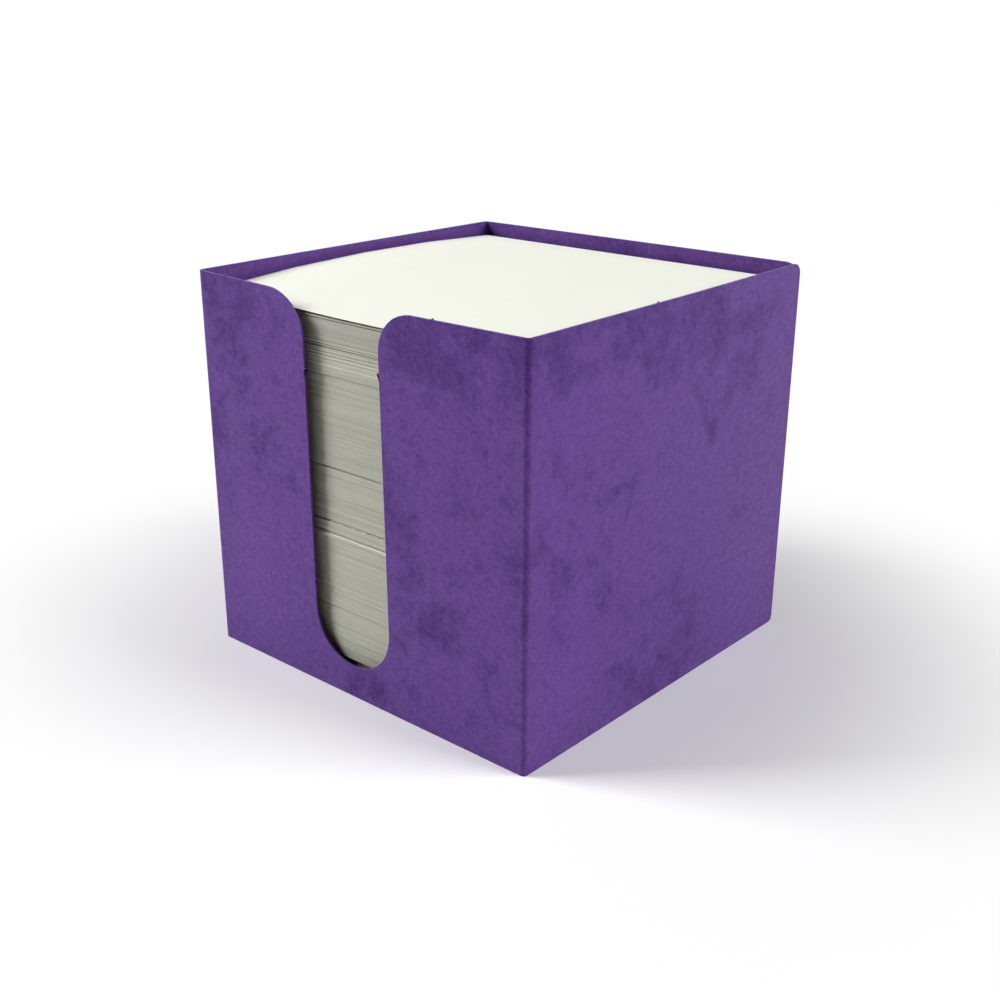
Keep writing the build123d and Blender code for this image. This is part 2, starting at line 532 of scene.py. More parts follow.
def path_normals(path: np.ndarray, turn: float) -> np.ndarray:
    """Gives the in-plane normals of a path: its tangents turned by a quarter.

    Args:
        path: the points, one row each.
        turn: 1 for the left of the way travelled, -1 for its right.

    Returns:
        Unit normals, one row each.
    """
    tangent = np.gradient(path, axis=0)
    tangent /= np.linalg.norm(tangent, axis=1, keepdims=True)
    return turn * np.column_stack((-tangent[:, 1], tangent[:, 0]))


@dataclass(frozen=True)
class DyeAndLight:
    """A placed part of the card that is darker, or lighter where its amount is negative. These are dye
    clouds, painted shade near the rims and painted light low on the walls and on the inner left wall.
    """

    place: Triple
    reach: Triple
    amount: float


@dataclass(frozen=True)
class Nick:
    """A holding nick left by the die: a bump of fibres on a cut edge, at a point of the blank."""

    place: Pair
    height: float = 0.3
    half_width: float = 0.16


def nicked(path: np.ndarray, nicks: list[Nick], spacing: float) -> tuple[np.ndarray, np.ndarray]:
    """Spaces a cut edge anew, more closely at its nicks.

    Each nick stands out by height exp(-(distance / half width)^2), with the distance along the edge.

    Args:
        path: the edge, finely spaced.
        nicks: the nicks on it.
        spacing: distance between points away from the nicks.

    Returns:
        The spaced edge, and how far each of its points stands out.
    """
    travelled = arc_length(path)
    total = travelled[-1]
    spots = [np.linspace(0.0, total, math.ceil(total / spacing) + 1)]
    centres = []
    for nick in nicks:
        centre = travelled[np.argmin(np.linalg.norm(path - np.array(nick.place), axis=1))]
        centres.append(centre)
        spots.append(centre + nick.half_width * NICK_POINTS)
    spots = np.unique(np.round(np.clip(np.concatenate(spots), 0.0, total), 4))
    placed = np.column_stack([np.interp(spots, travelled, path[:, axis]) for axis in (0, 1)])
    raised = np.zeros(len(spots))
    for nick, centre in zip(nicks, centres):
        raised += nick.height * np.exp(-(((spots - centre) / nick.half_width) ** 2))
    return placed, raised


@dataclass(frozen=True)
class CardSlab:
    """A piece of card: an outline on the blank, with its thickness and rounded cut edges, laid in place."""

    outline: Outline
    place: FlatPanel | Crease
    thickness: float
    rows: int
    dyes_and_lights: tuple[DyeAndLight, ...]
    edge_radius: float = 0.08
    round_steps: int = 3
    cut_power: int = 4
    crease_shade_foot: float = 0.4

    def boundary(self, columns: int) -> np.ndarray:
        """Gives the grid's outer vertices in order round the face.

        Args:
            columns: number of points along the lower and upper paths.

        Returns:
            Pairs of column and row, counterclockwise from the lower left corner.
        """
        along = np.arange(columns)
        up = np.arange(1, self.rows - 1)
        bottom = np.column_stack((along, np.zeros_like(along)))
        right = np.column_stack((np.full_like(up, columns - 1), up))
        top = np.column_stack((along[::-1], np.full_like(along, self.rows - 1)))
        left = np.column_stack((np.zeros_like(up), up[::-1]))
        return np.vstack((bottom, right, top, left))

    def edge_normals(self, grid: np.ndarray) -> tuple[np.ndarray, np.ndarray]:
        """Gives the in-plane normals on the grid's four sides.

        At a corner of two sides with normals n and m the mitred normal is (n + m) / (1 + n.m).

        Args:
            grid: points of the face, by column and row.

        Returns:
            How far a point moves out per unit of rounding, which is nothing at a fold, and the
            geometric unit normals, both by column and row.
        """
        sides = (
            (self.outline.bottom, np.s_[:, 0], -1.0),
            (self.outline.right, np.s_[-1, :], -1.0),
            (self.outline.top, np.s_[:, -1], 1.0),
            (self.outline.left, np.s_[0, :], 1.0),
        )
        outset = np.zeros_like(grid)
        geometric = np.zeros_like(grid)
        for side, where, turn in sides:
            normal = path_normals(grid[where], turn)
            for total, share in ((outset, float(side is Side.CUT)), (geometric, 1.0)):
                before = total[where]
                meeting = 1.0 + (before * normal * share).sum(axis=1, keepdims=True)
                total[where] = (before + normal * share) / meeting
        length = np.linalg.norm(geometric, axis=2, keepdims=True)
        return outset, geometric / np.maximum(length, LEAST_LENGTH)

    def build(self, name: str, fold: bool) -> bpy.types.Object:
        """Works out the slab.

        The face at (a, b) is (1 - b) lower(a) + b upper(a). From its rim, rings of the angle f lie
        radius sin f further out and radius (1 - cos f) below the outer face, and the same above
        the inner face.

        Args:
            name: name of the piece.
            fold: whether the piece is a crease, which gets painted shade, darkest along its middle and
                towards its end.

        Returns:
            The piece.
        """
        lower, upper = self.outline.lower, self.outline.upper
        columns = len(lower)
        rise = np.linspace(0.0, 1.0, self.rows)[None, :, None]
        grid = lower[:, None, :] * (1.0 - rise) + upper[:, None, :] * rise
        if self.outline.raised is not None:
            grid[:, -1] += path_normals(upper, 1.0) * self.outline.raised[:, None]
        outset, geometric = self.edge_normals(grid)
        rim = self.boundary(columns)
        rim_outset = outset[rim[:, 0], rim[:, 1]]
        rim_normal = geometric[rim[:, 0], rim[:, 1]]
        grid -= outset * self.edge_radius
        face = grid.reshape(-1, 2)
        rim_index = rim[:, 0] * self.rows + rim[:, 1]
        quarter = np.linspace(0.0, math.pi / 2, self.round_steps + 1)[1:]
        turn = np.concatenate((quarter, quarter[::-1]))[:, None]
        outer_half = (np.arange(2 * self.round_steps) < self.round_steps)[:, None]
        sunk = self.edge_radius * (1.0 - np.cos(turn))
        ring_depth = np.where(outer_half, sunk, self.thickness - sunk) * np.ones((1, len(rim)))
        ring_flat = face[rim_index] + rim_outset * (self.edge_radius * np.sin(turn))[:, :, None]
        facing = np.where(outer_half, 1.0, -1.0) * np.cos(turn) * np.ones((1, len(rim)))
        ring_side = rim_normal * np.sin(turn)[:, :, None]
        is_cut = (np.linalg.norm(rim_outset, axis=1) > 0.0)[None, :]
        ring_cut = np.sin(turn) ** self.cut_power * is_cut

        count = len(face)
        flat = np.vstack((face, ring_flat.reshape(-1, 2), face))
        depth = np.concatenate((np.zeros(count), ring_depth.ravel(), np.full(count, self.thickness)))
        side = np.vstack((np.zeros_like(face), ring_side.reshape(-1, 2), np.zeros_like(face)))
        out = np.concatenate((np.ones(count), facing.ravel(), -np.ones(count)))
        cut = np.concatenate((np.zeros(count), ring_cut.ravel(), np.zeros(count)))
        s, t = flat.T
        along, up, outward = self.place.axes(s)
        normals = along * side[:, :1] + up * side[:, 1:] + outward * out[:, None]
        points = self.place.points(s, t, depth)
        # Painted shade along the middle of a crease, fading towards its foot.
        rising = self.crease_shade_foot + (1.0 - self.crease_shade_foot) * t / t.max()
        crease_shade = np.sin(math.pi * s / s.max()) * rising * float(fold)
        reverse = depth / self.thickness
        attributes = {"cut": cut, "reverse": reverse, "fold": crease_shade, "dye_and_light": self.dye_and_light(points)}
        faces = self.faces(columns, rim_index, count)
        return make_piece(name, points, faces, np.ones(len(faces), bool), attributes, normals)

    def dye_and_light(self, points: np.ndarray) -> np.ndarray:
        """Adds up the dye clouds, painted shade and painted light: amount exp(-|(point - place) / reach|^2)
        for each.

        Args:
            points: the vertices.

        Returns:
            The darkness at each vertex.
        """
        total = np.zeros(len(points))
        for part in self.dyes_and_lights:
            away = (points - np.array(part.place)) / np.array(part.reach)
            total += part.amount * np.exp(-(away**2).sum(axis=1))
        return total

    def faces(self, columns: int, rim_index: np.ndarray, count: int) -> np.ndarray:
        """Joins the outer face, the rings and the inner face.

        Args:
            columns: number of columns of a face's grid.
            rim_index: vertex numbers of the outer face's rim.
            count: number of vertices of one face.

        Returns:
            Four vertex numbers for each quad, counterclockwise from outside.
        """
        number = np.arange(count).reshape(columns, self.rows)
        corners = (number[:-1, :-1], number[1:, :-1], number[1:, 1:], number[:-1, 1:])
        outer = np.stack(corners, axis=-1).reshape(-1, 4)
        ring_count = 2 * self.round_steps
        rings = count + np.arange(ring_count * len(rim_index)).reshape(ring_count, -1)
        inner_start = count + ring_count * len(rim_index)
        loops = np.vstack((rim_index, rings, rim_index + inner_start))
        ahead = np.roll(loops, -1, axis=1)
        wall = np.stack((loops[:-1], loops[1:], ahead[1:], ahead[:-1]), axis=-1).reshape(-1, 4)
        inner = outer[:, ::-1] + inner_start
        return np.vstack((outer, wall, inner))


@dataclass
class Case:
    """The folded pressboard case: panels, creases, seam flap and floor tabs of one card."""

    slot_width: float = 22.4
    slot_offset: float = -2.0
    slot_floor: float = 7.6
    left_mouth_radius: float = 10.6
    right_mouth_radius: float = 9.2
    left_dip: float = 0.45
    right_dip: float = 0.35
    left_lean: float = -0.004
    right_lean: float = -0.0125
    lean_height: float = 45.0
    left_ease: float = -0.04
    right_ease: float = 0.2
    rear_rise: float = 0.2
    rear_drop: float = 0.22
    free_rise: float = 0.3
    free_start: float = 0.45
    seam_relief: float = 0.3
    relief_run: float = 1.6
    seam_taper: float = 4.0
    corner_top: float = 2.6
    corner_bottom: float = 1.3
    tab_taper: float = 4.0
    rim_nick: float = 0.3
    slot_nick: float = 0.7
    front_nicks: tuple[float, ...] = (-38.1, 23.8)
    slot_left_nicks: tuple[float, ...] = (72.95, 25.3)
    slot_right_nicks: tuple[float, ...] = (75.8,)
    right_nicks: tuple[float, ...] = (-8.1,)
    # Dye clouds of the mottling, with painted shade in the darker places along the rims, and painted light
    # in the lighter ones, with negative amounts, low on the walls and along the inner left wall.
    dyes_and_lights: tuple[DyeAndLight, ...] = (
        DyeAndLight((47.5, -22.0, 90.0), (6.0, 34.0, 13.0), 0.31),
        DyeAndLight((47.5, 12.0, 84.0), (6.0, 6.0, 9.0), 0.24),
        DyeAndLight((47.5, 14.0, 57.0), (6.0, 2.6, 4.2), 0.36),
        DyeAndLight((47.5, 27.0, 76.0), (6.0, 12.0, 13.0), 0.20),
        DyeAndLight((47.5, 29.0, 35.0), (6.0, 3.6, 2.6), 0.22),
        DyeAndLight((47.5, -33.0, 42.0), (6.0, 8.0, 10.0), 0.07),
        DyeAndLight((47.5, 2.0, 2.0), (6.0, 10.0, 9.0), 0.16),
        DyeAndLight((-40.0, -47.75, 86.0), (24.0, 6.0, 15.0), 0.28),
        DyeAndLight((-47.0, -47.75, 52.0), (7.0, 6.0, 34.0), 0.12),
        DyeAndLight((-30.0, -47.75, 52.5), (4.4, 6.0, 3.4), 0.32),
        DyeAndLight((20.0, -47.75, 84.0), (24.0, 6.0, 11.0), 0.30),
        DyeAndLight((12.0, -47.75, 62.0), (5.0, 6.0, 22.0), 0.14),
        DyeAndLight((24.0, -47.75, 27.0), (6.0, 6.0, 5.0), 0.20),
        DyeAndLight((4.0, -47.75, 2.0), (18.0, 6.0, 7.0), 0.16),
        DyeAndLight((28.0, -47.75, 44.0), (18.0, 6.0, 20.0), 0.08),
        DyeAndLight((-34.0, -47.75, 20.0), (14.0, 6.0, 18.0), -0.30),
        DyeAndLight((-47.0, 0.0, 88.0), (3.0, 60.0, 6.0), -0.20),
        DyeAndLight((47.5, 36.0, 16.0), (6.0, 14.0, 18.0), -0.22),
        DyeAndLight((47.5, -34.0, 12.0), (6.0, 12.0, 14.0), -0.18),
    )
    lean_reach: Pair = (2.4, 1.6)
    foot_share: float = 0.6
    foot_margin: float = 2.0
    front_rows: int = 30
    wall_rows: int = 56
    short_rows: int = 8
    tab_rows: int = 6
    bend_steps: int = 10
    fine: float = 0.05
    spacing: float = 1.6
    body: str = "case"
    pieces: list[bpy.types.Object] = field(default_factory=list)

    def __post_init__(self) -> None:
        """Takes the walls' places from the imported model. The rim stays a nick's height below its top."""
        self.left = node_box("left_wall")[0][0]
        self.right = node_box("right_wall")[1][0]
        front_low, front_high = node_box("front_wall")
        self.front = front_low[1]
        self.card = front_high[1] - front_low[1]
        self.rear = node_box("rear_wall")[1][1]
        self.free_edge = node_box("right_wall")[1][1]
        self.bend = front_low[0] - self.left
        self.rim = front_high[2] - self.rim_nick
        self.finish = PressboardFinish().material()

    def add(self, node: str, outline: Outline, place: FlatPanel | Crease, rows: int) -> None:
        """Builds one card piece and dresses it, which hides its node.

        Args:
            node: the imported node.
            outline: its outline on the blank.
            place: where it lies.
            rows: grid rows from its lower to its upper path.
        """
        slab = CardSlab(outline, place, self.card, rows, self.dyes_and_lights)
        piece = slab.build(node + "_card", isinstance(place, Crease))
        dress(piece, self.finish, node, self.body)
        self.pieces.append(piece)

    def rectangle(self, width: float, height: float, **sides: Side) -> Outline:
        """Gives a plain rectangular outline of that width and height, with the given sides."""
        lower = straight((0.0, 0.0), (width, 0.0), self.spacing)
        return Outline(lower, lower + np.array((0.0, height)), **sides)

    def slot_outline(self, width: float, shift: float) -> Outline:
        """Gives the front wall's outline, whose upper path goes down round the slot and up again.

        The rim turns into the slot over a round shoulder on each side, and the slot ends in a half
        circle. The slot leans: its points move sideways by lean times their height above its middle,
        each edge by its own lean, and lie further right by its ease. The rim falls from each corner
        to the slot, by its own dip. The lower path gives each stretch of the upper one a stretch
        of the bottom edge.

        Args:
            width: width of the panel.
            shift: the panel's left end, in the part's frame.

        Returns:
            The outline.
        """
        half = self.slot_width / 2
        middle = self.slot_offset - shift
        low, high = middle - half, middle + half
        left_shoulder = self.rim - self.left_mouth_radius
        right_shoulder = self.rim - self.right_mouth_radius
        bowl = self.slot_floor + half
        left_turn, right_turn = low - self.left_mouth_radius, high + self.right_mouth_radius
        path = join(
            straight((0.0, self.rim), (left_turn, self.rim), self.fine),
            arc((left_turn, left_shoulder), self.left_mouth_radius, 90.0, 0.0, self.fine),
            straight((low, left_shoulder), (low, bowl), self.fine),
            arc((middle, bowl), half, 180.0, 360.0, self.fine),
            straight((high, bowl), (high, right_shoulder), self.fine),
            arc((right_turn, right_shoulder), self.right_mouth_radius, 180.0, 90.0, self.fine),
            straight((right_turn, self.rim), (width, self.rim), self.fine),
        )
        left_dip = self.left_dip * np.clip(path[:, 0] / left_turn, 0.0, 1.0)
        right_dip = self.right_dip * np.clip((width - path[:, 0]) / (width - right_turn), 0.0, 1.0)
        dip = np.where(path[:, 0] < middle, left_dip, right_dip)
        path[:, 1] -= dip * smooth_step(path[:, 1], right_shoulder, self.rim)
        far, near = (reach * half for reach in self.lean_reach)
        near_slot = smooth_step(np.abs(path[:, 0] - middle), far, near)
        leftward = smooth_step(path[:, 0], high, low)
        lean = self.right_lean + (self.left_lean - self.right_lean) * leftward
        ease = self.right_ease + (self.left_ease - self.right_ease) * leftward
        path[:, 0] += (lean * (path[:, 1] - self.lean_height) + ease) * near_slot
        nicks = [Nick((x - shift, self.rim), self.rim_nick) for x in self.front_nicks]
        nicks += [Nick((low, z), self.slot_nick) for z in self.slot_left_nicks]
        nicks += [Nick((high, z), self.slot_nick) for z in self.slot_right_nicks]
        upper, raised = nicked(path, nicks, self.spacing)
        share = arc_length(upper)
        share /= share[-1]
        corners = ((left_turn, self.rim), (low, bowl), (high, bowl), (right_turn, self.rim))
        turns = [self.rim_share(upper, share, corner) for corner in corners]
        margin, inset = self.foot_margin, self.foot_share * (width - right_turn)
        ends = [self.foot_share * left_turn, low - margin, high + margin, width - inset]
        lower = np.interp(share, [0.0, *turns, 1.0], [0.0, *ends, width])
        lower = np.column_stack((lower, np.zeros_like(lower)))
        return Outline(lower, upper, raised=raised)

    @staticmethod
    def rim_share(path: np.ndarray, share: np.ndarray, point: Pair) -> float:
        """Gives the share of a path that is travelled where it passes nearest to a point."""
        return float(share[np.argmin(np.linalg.norm(path - np.array(point), axis=1))])

    def build_walls(self) -> None:
        """Builds the four walls, each flat between its creases.

        The right rim rises by free_rise to its free edge, from free_start of its length. The rear rim
        rises to the seam by rear_rise, and falls by seam_relief on its last stretch there. The left
        and rear rims fall by rear_drop to their common corner, with the square of the way.
        """
        front_low, front_high = node_box("front_wall")
        width = front_high[0] - front_low[0]
        place = FlatPanel(np.array((front_low[0], self.front, 0.0)), X)
        self.add("front_wall", self.slot_outline(width, front_low[0]), place, self.front_rows)

        start = self.front + self.bend
        width = self.free_edge - start
        height = self.rim
        lower = join(
            straight((0.0, 0.0), (width - self.corner_bottom, 0.0), self.fine),
            arc((width - self.corner_bottom, self.corner_bottom), self.corner_bottom, -90.0, 0.0, self.fine),
        )
        upper = join(
            straight((0.0, height), (width - self.corner_top, height), self.fine),
            arc((width - self.corner_top, height - self.corner_top), self.corner_top, 90.0, 0.0, self.fine),
        )
        upper[:, 1] += self.free_rise * smooth_step(upper[:, 0], self.free_start * width, width)
        nicks = [Nick((y - start, height), self.rim_nick) for y in self.right_nicks]
        upper, raised = nicked(upper, nicks, self.spacing / 2)
        share = arc_length(upper) / arc_length(upper)[-1]
        travelled = arc_length(lower) / arc_length(lower)[-1]
        lower = np.column_stack([np.interp(share, travelled, lower[:, axis]) for axis in (0, 1)])
        place = FlatPanel(np.array((self.right, start, 0.0)), Y)
        outline = Outline(lower, upper, right=Side.CUT, raised=raised)
        self.add("right_wall", outline, place, self.wall_rows)

        low, high = node_box("rear_wall")
        place = FlatPanel(np.array((high[0], self.rear, low[2])), -X)
        outline = self.rectangle(high[0] - low[0], self.rim - low[2], bottom=Side.FOLD)
        leftward = outline.upper[:, 0] / outline.upper[-1, 0]
        outline.upper[:, 1] += self.rear_rise * (1.0 - leftward) - self.rear_drop * leftward**2
        outline.upper[:, 1] -= self.seam_relief * smooth_step(outline.upper[:, 0], self.relief_run, 0.0)
        self.add("rear_wall", outline, place, self.wall_rows)

        low, high = node_box("left_wall")
        place = FlatPanel(np.array((self.left, high[1], 0.0)), -Y)
        outline = self.rectangle(high[1] - low[1], self.rim)
        outline.upper[:, 1] -= self.rear_drop * (1.0 - outline.upper[:, 0] / outline.upper[-1, 0]) ** 2
        self.add("left_wall", outline, place, self.wall_rows)

    def bend_outline(self, length: float) -> Outline:
        """Gives the outline of a crease, which is cut at both ends.

        Args:
            length: length of its fold line.

        Returns:
            The outline.
        """
        round_length = self.bend * math.pi / 2
        lower = straight((0.0, 0.0), (round_length, 0.0), round_length / self.bend_steps)
        return Outline(lower, lower + np.array((0.0, length)))

    def build_creases(self) -> None:
        """Builds the creases between the walls, at the seam, and round the floor."""
        left, right = self.left + self.bend, self.right - self.bend
        front, rear = self.front + self.bend, self.rear - self.bend
        walls = {
            "front_right_crease": (np.array((right, front, 0.0)), -Y, X, self.rim),
            "front_left_crease": (np.array((left, front, 0.0)), -X, -Y, self.rim),
            "rear_left_crease": (np.array((left, rear, 0.0)), Y, -X, self.rim - self.rear_drop),
        }
        walls["seam_crease"] = (node_corner("seam_crease", (0, 0, 0)), X, Y, self.seam_height("seam_crease"))
        for node, (centre, first, last, height) in walls.items():
            self.add(node, self.bend_outline(height), Crease(centre, first, last, self.bend), self.wall_rows)
        floor = {
            "floor_crease": ((0, 0, 1), -Z, Y, 0),
            "front_tab_crease": ((0, 1, 1), -Y, -Z, 0),
            "left_tab_crease": ((1, 0, 1), -Z, -X, 1),
            "right_tab_crease": ((0, 0, 1), X, -Z, 1),
        }
        for node, (ends, first, last, axis) in floor.items():
            place = Crease(node_corner(node, ends), first, last, self.bend)
            self.add(node, self.bend_outline(node_size(node)[axis]), place, self.short_rows)

    def seam_height(self, node: str) -> float:
        """Gives the height of a node at the seam, up to the relieved rim there."""
        return self.rim + self.rear_rise - self.seam_relief - node_box(node)[0][2]

    def build_floor(self) -> None:
        """Builds the floor panel and the three tabs that are turned up from it."""
        width, depth, _ = node_size("floor_panel")
        place = FlatPanel(node_corner("floor_panel", (1, 0, 0)), -X, Y)
        outline = self.rectangle(width, depth, bottom=Side.FOLD, top=Side.FOLD)
        self.add("floor_panel", outline, place, self.wall_rows)
        tabs = {
            "front_tab": ((0, 0, 0), X, 0),
            "left_tab": ((0, 1, 0), -Y, 1),
            "right_tab": ((1, 0, 0), Y, 1),
        }
        for node, (ends, along, axis) in tabs.items():
            size = node_size(node)
            self.add_tab(node, node_corner(node, ends), along, size[axis], size[2])

    def add_tab(self, node: str, origin: np.ndarray, along: np.ndarray, run: float, rise: float) -> None:
        """Builds a tab that narrows upwards from its crease.

        Args:
            node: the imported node.
            origin: lower left corner of its outer face.
            along: direction of its crease.
            run: length of its crease.
            rise: its height.
        """
        lower = straight((0.0, 0.0), (run, 0.0), self.spacing)
        share = lower[:, 0] / run
        across = self.tab_taper + share * (run - 2 * self.tab_taper)
        upper = np.column_stack((across, np.full_like(share, rise)))
        outline = Outline(lower, upper, bottom=Side.FOLD, right=Side.CUT, left=Side.CUT)
        self.add(node, outline, FlatPanel(origin, along), self.tab_rows)

    def build_seam_flap(self) -> None:
        """Builds the flap of the seam, which narrows towards its free edge inside the right wall."""
        low, high = node_box("seam_flap")
        width = high[1] - low[1]
        height = self.seam_height("seam_flap")
        lower = straight((0.0, self.seam_taper), (width, 0.0), self.spacing)
        upper = straight((0.0, height - self.seam_taper), (width, height), self.spacing)
        place = FlatPanel(np.array((high[0], low[1], low[2])), Y)
        self.add("seam_flap", Outline(lower, upper, left=Side.CUT), place, self.wall_rows)

    def dress_glue(self) -> None:
        """Gives the four glue films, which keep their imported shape, their finish."""
        material = GlueFinish().material()
        for node, film in frame["nodes"].items():
            if node.endswith("_glue"):
                film.data.materials.clear()
                film.data.materials.append(material)

    def build(self) -> list[bpy.types.Object]:
        """Builds the whole case.

        Returns:
            Its pieces.
        """
        self.build_walls()
        self.build_creases()
        self.build_floor()
        self.build_seam_flap()
        self.dress_glue()
        return self.pieces


@dataclass(frozen=True)
class Parting:
    """A place where the sheets part: how deep the edges draw back there, and where along the front."""

    height: float
    depth: float
    spread: float = 0.1
    fade: float = 0.0
    ragged: float = 0.0


@dataclass(frozen=True)
class PaintedEdgeLight:
    """Painted light on the sheets' edges around a height: a painted highlight where the amount is positive,
    as where sheets stand proud, and painted shade where it is negative, as in partings and low in the slot
    under its lip.
    """

    height: float
    amount: float
    spread: float = 0.12


@dataclass
class NoteStack:
    """The loose note sheets: one closed piece for each wad, with every sheet edge in its surface."""

    sheet: float = 0.1
    groove: float = 0.03
    stray: float = 0.03
    stray_limit: float = 0.06
    tone_spread: float = 0.02
    corner_step: float = 0.3
    corner_start: float = 0.8
    slot_reach: Pair = (-17.0, 13.0)
    slot_steps: int = 72
    side_steps: int = 3
    cap_rings: int = 7
    brink: float = 0.998
    swell: float = 2.2
    crest: float = 3.75
    side_fall: float = 0.12
    front_sag: float = 0.58
    sag_reach: Pair = (30.0, 20.0)
    rear_rise: float = 0.5
    left_rise: float = 0.15
    forward: float = 0.55
    forward_height: float = 60.0
    setback_height: float = 7.65
    setback: float = 1.5
    seed: int = 11
    groove_shade: float = 0.06
    swell_power: float = 1.5
    rear_even: float = 0.6
    torn_share: float = 0.5
    partings: tuple[Parting, ...] = (
        Parting(84.42, 2.4, 0.26),
        Parting(83.62, 1.8, 0.12, ragged=0.3),
        Parting(79.0, 0.28, 0.06, ragged=0.3),
        Parting(78.25, 0.24, 0.05, ragged=0.4),
        Parting(77.7, 0.4, 0.07, ragged=0.2),
        Parting(76.7, 0.3, 0.05, ragged=0.5),
        Parting(76.0, 0.25, 0.05, ragged=0.5),
        Parting(75.2, 0.25, 0.05, ragged=0.5),
        Parting(71.7, 0.25, 0.08),
        Parting(69.5, 0.15, 0.06),
        Parting(51.5, 2.0, 0.14, fade=1.0),
        Parting(49.5, 0.2, 0.05),
        Parting(39.18, 2.4, 0.14, ragged=0.8),
        Parting(36.45, 0.8, 0.08),
        Parting(35.9, 0.6, 0.07),
        Parting(35.3, 0.3, 0.08),
        Parting(32.0, 0.2, 0.06),
        Parting(22.2, 0.25, 0.06),
        Parting(19.0, 0.25, 0.06),
        Parting(14.65, 0.4, 0.08),
        Parting(14.0, 0.15, 0.06),
        Parting(11.65, 0.4, 0.08),
    )
    # Painted highlights where sheets stand proud and catch the light, and painted shade in partings, in
    # darker bands and low in the slot under its lip.
    painted_edge_lights: tuple[PaintedEdgeLight, ...] = (
        PaintedEdgeLight(84.28, -0.80, 0.16),
        PaintedEdgeLight(83.92, 0.40, 0.07),
        PaintedEdgeLight(81.3, -0.10, 2.0),
        PaintedEdgeLight(77.1, 0.45, 0.08),
        PaintedEdgeLight(76.4, 0.45, 0.08),
        PaintedEdgeLight(75.6, 0.50, 0.08),
        PaintedEdgeLight(74.9, 0.40, 0.08),
        PaintedEdgeLight(73.9, 0.55, 0.08),
        PaintedEdgeLight(41.75, 0.07, 0.3),
        PaintedEdgeLight(40.9, -0.10, 0.25),
        PaintedEdgeLight(36.1, 0.40, 0.10),
        PaintedEdgeLight(35.7, 0.50, 0.10),
        PaintedEdgeLight(35.5, 0.30, 0.08),
        PaintedEdgeLight(15.5, -0.08),
        PaintedEdgeLight(13.2, -0.10),
        PaintedEdgeLight(12.0, -0.08),
        PaintedEdgeLight(10.6, -0.10),
        PaintedEdgeLight(9.5, -0.08),
        PaintedEdgeLight(7.75, 0.25, 0.08),
        PaintedEdgeLight(7.0, -0.30, 4.0),
    )
    pieces: list[bpy.types.Object] = field(default_factory=list)

    def __post_init__(self) -> None:
        """Makes the finish and the random draws, and takes the stack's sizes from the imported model."""
        self.finish = PaperFinish().material()
        self.draw = np.random.default_rng(self.seed)
        low, high = node_box("top_sheet")
        self.front_edge = low[1]
        self.half = (high[1] - low[1]) / 2
        self.top = low[2] + self.sheet
        self.swell_foot = node_box("note_wad_9")[0][2]
        self.loose_foot = node_box("loose_sheets")[0][2]

    def perimeter(self, half: np.ndarray) -> tuple[np.ndarray, np.ndarray]:
        """Gives points round a sheet, counterclockwise from the front left, and the ways that they move out.

        The points stand close together in the slot's view and at the corners. A point moves out square
        to its edge, and towards a corner it moves along with that corner as well.

        Args:
            half: half the sheet's width and depth.

        Returns:
            The points round the middle of the sheet, and the moves, one row each.
        """
        ends = 1.0 - self.corner_step / half[0]
        inner = np.linspace(-ends, ends, self.side_steps + 2)
        slot = np.linspace(*self.slot_reach, self.slot_steps) / half[0]
        front = np.concatenate(([-1.0, -ends], slot, [ends]))
        side = np.concatenate(([-1.0], inner))
        one = np.ones
        points = np.vstack(
            (
                np.column_stack((front, -one(len(front)))),
                np.column_stack((one(len(side)), side)),
                np.column_stack((-side, one(len(side)))),
                np.column_stack((-one(len(side)), -side)),
            )
        )
        outward = np.sign(points) * smooth_step(np.abs(points), self.corner_start, 1.0)
        return points * half, outward

    def lift(self, height: np.ndarray, x: np.ndarray, y: np.ndarray) -> np.ndarray:
        """Gives the true height of a point of the stack.

        The upper sheets swell by swell (1 - ((y - crest) / reach)^2), where reach is the distance from
        the crest to the front edge, a little less towards the sides. That grows in from the swell's
        foot to the top of the stack as the share of the height to swell_power, and so do a rise of
        rear_rise towards the rear, most at the right, and one of left_rise towards the left. The
        topmost sheets sag by front_sag at the front edge, in the middle by exp(-(x / reach)^2).

        Args:
            height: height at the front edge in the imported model.
            x: place across the stack.
            y: place along its depth.

        Returns:
            The height, for arrays of one shape.
        """
        bow = np.maximum(1.0 - ((y - self.crest) / (self.crest - self.front_edge)) ** 2, 0.0)
        bow *= 1.0 - self.side_fall * (x / self.half) ** 2
        grown = np.clip((height - self.swell_foot) / (self.top - self.swell_foot), 0.0, 1.0)
        grown = grown**self.swell_power
        loose = np.clip((height - self.loose_foot) / (self.top - self.loose_foot), 0.0, 1.0)
        sag = self.front_sag * smooth_step(y, self.front_edge + self.sag_reach[1], self.front_edge)
        sag *= np.exp(-((x / self.sag_reach[0]) ** 2))
        rise = self.rear_rise * smooth_step(y, self.crest, self.crest + self.half)
        rise *= self.rear_even + (1.0 - self.rear_even) * x / self.half
        rise += self.left_rise * smooth_step(x, 0.0, -self.half)
        return height + (self.swell * bow + rise) * grown - sag * loose

